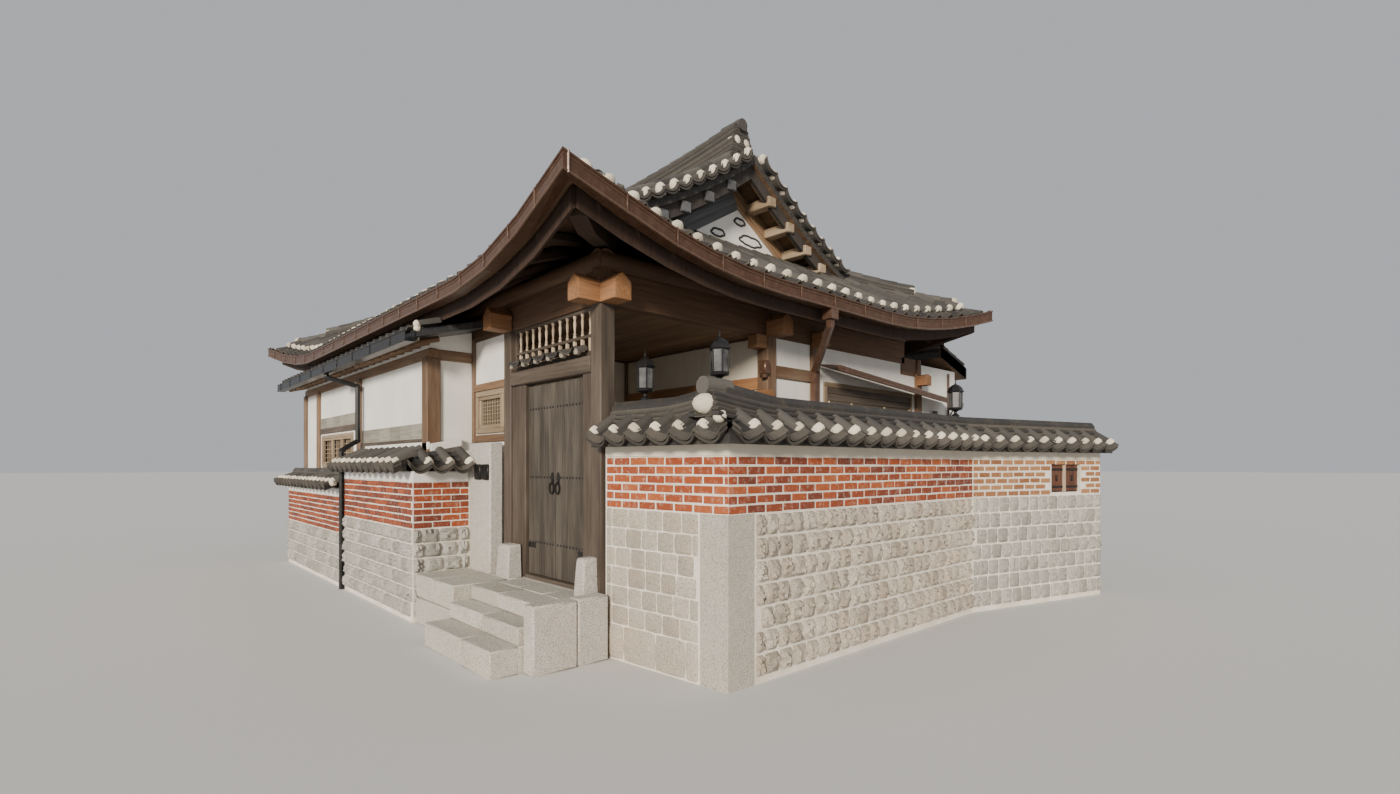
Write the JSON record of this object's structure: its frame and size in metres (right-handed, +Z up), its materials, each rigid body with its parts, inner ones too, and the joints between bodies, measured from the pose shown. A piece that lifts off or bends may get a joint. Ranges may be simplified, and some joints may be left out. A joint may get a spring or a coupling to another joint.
{
  "type": "hanok house",
  "caption": "Tiled timber-framed hanok house with a covered gate hall, lean-to wing, annex and tile-capped brick and stone yard walls.",
  "frame": {"origin": "on the floor under the middle of the whole part's bounding box", "axes": "+X along the main ridge towards the corner gable, +Y from the gate face towards the back, +Z up"},
  "size_m": [12.5908, 8.58, 6.32],
  "materials": {
    "tile": "matt weathered grey roof tile with white mortar",
    "timber": "oiled orange-brown timber",
    "grey_timber": "weathered grey-brown timber",
    "plaster": "matt warm white lime plaster",
    "granite": "flat dressed light granite",
    "brick": "old red brick over rough stone blocks",
    "gutter": "satin dark brown",
    "black_metal": "satin black",
    "brown_metal": "satin copper brown",
    "lattice": "wooden lattice in front of a pane"
  },
  "bodies": {
    "house": {"front_roof_slope": "tile", "back_roof_slope": "tile", "right_roof_skirt": "tile", "left_roof_skirt": "tile", "front_rafters": "timber", "back_rafters": "timber", "right_rafters": "timber", "left_rafters": "timber", "right_gable": "grey_timber", "left_gable": "grey_timber", "roof_ridges": "tile", "front_right_gutter": "gutter", "back_left_gutter": "gutter", "stone_floor": "granite", "gate_steps": "granite", "step_cheek_stone": "granite", "gate_pier": "granite", "gate_hall_frame": "timber", "right_frame": "timber", "back_frame": "timber", "left_frame": "timber", "wing_frame": "timber", "wing_roof": "tile", "wing_gutter": "black_metal", "gate_side_wall": "plaster", "gate_hall_walls": "plaster", "right_wall": "plaster", "back_wall": "plaster", "left_wall": "plaster", "wing_wall": "plaster", "gate_side_window": "lattice", "wing_window": "lattice", "right_window": "lattice", "back_window": "lattice", "left_window": "lattice", "gate_frame": "grey_timber", "gate_transom": "grey_timber", "annex_walls": "plaster", "annex_roof": "tile", "window_awning": "brown_metal", "right_downpipe": "brown_metal", "wing_downpipe": "black_metal", "corner_pillar": "granite", "front_yard_wall": "brick", "far_yard_wall": "brick", "shutter_window": "timber", "front_coping": "tile", "front_lantern": "black_metal", "corner_lantern": "black_metal", "far_lantern": "black_metal", "left_yard_wall": "brick", "left_coping_upper": "tile", "left_coping_lower": "tile"},
    "left_leaf": {"gate_leaf_left": "grey_timber", "ring_pull_left": "black_metal"},
    "right_leaf": {"gate_leaf_right": "grey_timber", "ring_pull_right": "black_metal"}
  },
  "joints": [
    {"name": "left_gate_hinge", "type": "hinge", "parent": "house", "child": "left_leaf", "pos_m": [2.40511, -3.113, 1.6], "axis": [0, 0, 1], "range_deg": [0, 90]},
    {"name": "right_gate_hinge", "type": "hinge", "parent": "house", "child": "right_leaf", "pos_m": [3.51911, -3.113, 1.6], "axis": [0, 0, -1], "range_deg": [0, 90]}
  ]
}
